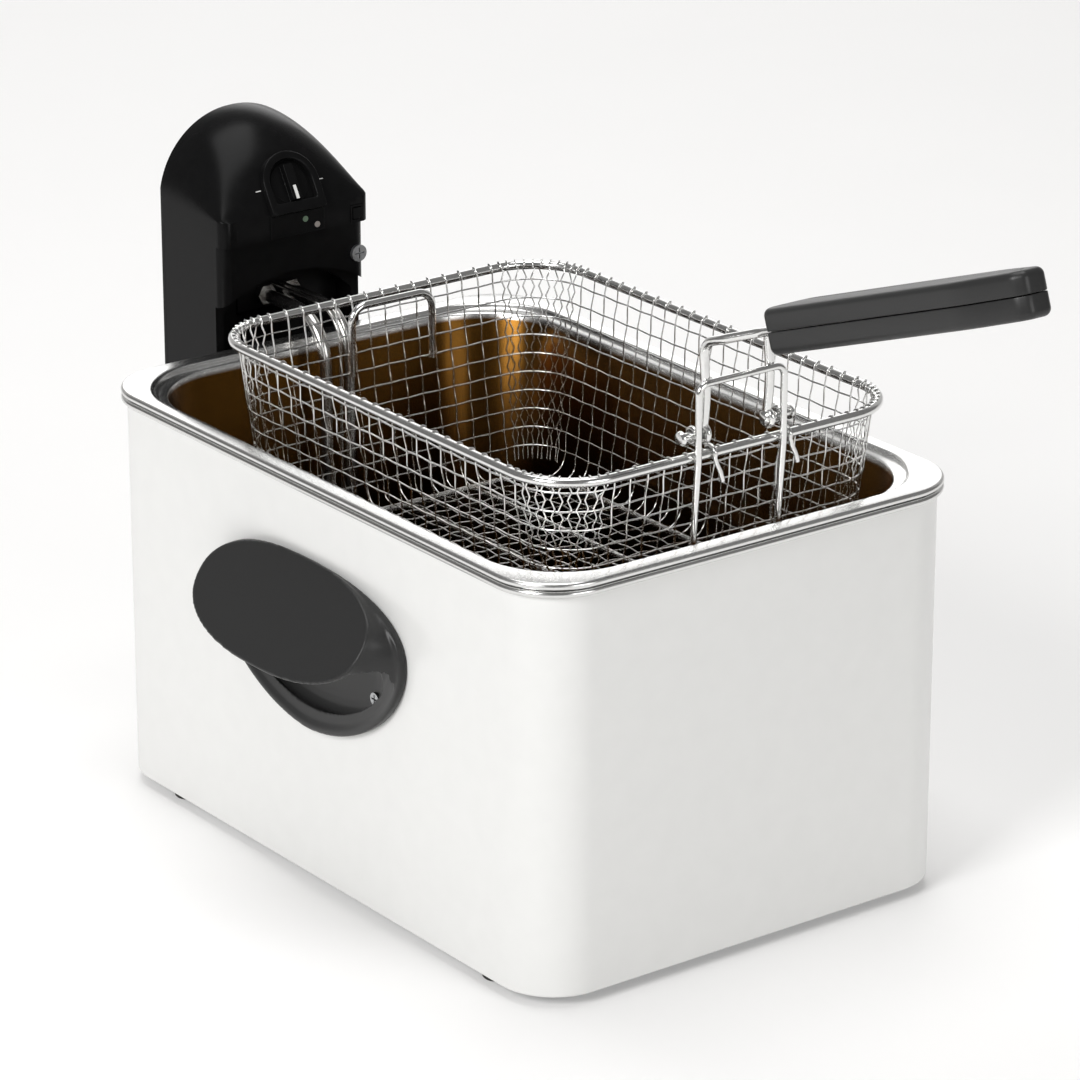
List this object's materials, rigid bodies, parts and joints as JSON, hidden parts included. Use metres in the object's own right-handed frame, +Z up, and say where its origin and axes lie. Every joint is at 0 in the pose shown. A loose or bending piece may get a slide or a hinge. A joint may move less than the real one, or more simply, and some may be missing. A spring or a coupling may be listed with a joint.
{
  "type": "deep fryer",
  "caption": "Countertop deep fryer: white casing with oval side pulls, lift-out oil tank, lift-off control head with immersion element, and a wire basket with a folding handle.",
  "frame": {"origin": "on the table, under the middle of the casing", "axes": "+Z up; -Y to the front, where the basket handle points; +Y to the control head; +X to the right seen from the front"},
  "size_m": [0.3146, 0.6003, 0.3686],
  "materials": {
    "white_lacquer": "semi-gloss white lacquer",
    "polished_steel": "polished stainless steel",
    "zinc_steel": "zinc-plated steel",
    "black_rubber": "matt rubber",
    "grey_plastic": "satin dark grey moulding",
    "tank_steel": "satin stainless steel, tinted amber inside",
    "gloss_black": "gloss black moulding",
    "element_steel": "bright nickel-plated tube",
    "ceramic_cream": "glazed cream insulator",
    "red_silicone": "silicone-insulated lead",
    "blue_plastic": "moulded switch body",
    "green_lens": "clear green lens",
    "red_lens": "clear red lens",
    "white_mark": "white inlay",
    "spindle_steel": "turned steel",
    "red_plastic": "red button",
    "chromed_wire": "bright plated wire"
  },
  "bodies": {
    "casing": {"outer_casing": "white_lacquer", "casing_rim": "polished_steel", "base_plate": "zinc_steel", "rubber_feet": "black_rubber", "feet_screws": "zinc_steel", "carry_handle_left": "grey_plastic", "carry_handle_right": "grey_plastic", "carry_handle_screws": "zinc_steel", "head_rail": "zinc_steel", "rail_screws": "zinc_steel", "interlock_pin": "zinc_steel"},
    "tank": {"oil_tank": "tank_steel"},
    "head": {"head_housing": "gloss_black", "head_top_cover": "gloss_black", "head_rear_cover": "gloss_black", "head_screws": "zinc_steel", "dial_bezel": "gloss_black", "runner_plate": "zinc_steel", "element_bracket": "gloss_black", "heating_element": "element_steel", "element_nuts": "element_steel", "element_stay": "polished_steel", "thermostat_body": "ceramic_cream", "thermostat_bulb": "element_steel", "thermal_cutout": "ceramic_cream", "cutout_bulb": "element_steel", "bulb_clip": "polished_steel", "terminal_block": "ceramic_cream", "internal_wires": "red_silicone", "interlock_switch": "blue_plastic", "power_lamp": "green_lens", "heat_lamp": "red_lens", "rocker_frame": "gloss_black", "cord_gland": "black_rubber"},
    "knob": {"thermostat_knob": "gloss_black", "knob_pointer": "white_mark", "thermostat_spindle": "spindle_steel"},
    "rocker": {"rocker_key": "gloss_black"},
    "reset": {"reset_button": "red_plastic"},
    "basket": {"basket_rim": "chromed_wire", "basket_mesh": "chromed_wire", "basket_bottom_frame": "chromed_wire", "rear_hook": "chromed_wire", "handle_bracket": "chromed_wire"},
    "handle": {"handle_frame": "chromed_wire", "pivot_pins": "chromed_wire", "grip_upper": "grey_plastic", "grip_lower": "grey_plastic", "grip_screws": "zinc_steel"}
  },
  "joints": [
    {"name": "tank_lift", "type": "slide", "parent": "casing", "child": "tank", "axis": [0, 0, 1], "range_m": [0, 0.25]},
    {"name": "head_lift", "type": "slide", "parent": "tank", "child": "head", "axis": [0, 0, 1], "range_m": [0, 0.22]},
    {"name": "basket_lift", "type": "slide", "parent": "head", "child": "basket", "axis": [0, 0, 1], "range_m": [-0.063, 0.15]},
    {"name": "handle_fold", "type": "hinge", "parent": "basket", "child": "handle", "pos_m": [0, -0.1575, 0.2485], "axis": [-1, 0, 0], "range_deg": [0, 148]},
    {"name": "thermostat_turn", "type": "hinge", "parent": "head", "child": "knob", "pos_m": [0, 0.1915, 0.2756], "axis": [0, 0.8572, -0.515], "range_deg": [0, 270]},
    {"name": "rocker_tip", "type": "hinge", "parent": "head", "child": "rocker", "pos_m": [0.0354, 0.1866, 0.2555], "axis": [1, 0, 0], "range_deg": [0, 12]},
    {"name": "reset_press", "type": "slide", "parent": "head", "child": "reset", "axis": [0, -1, 0], "range_m": [0, 0.002], "stiffness_N_per_m": 400}
  ]
}
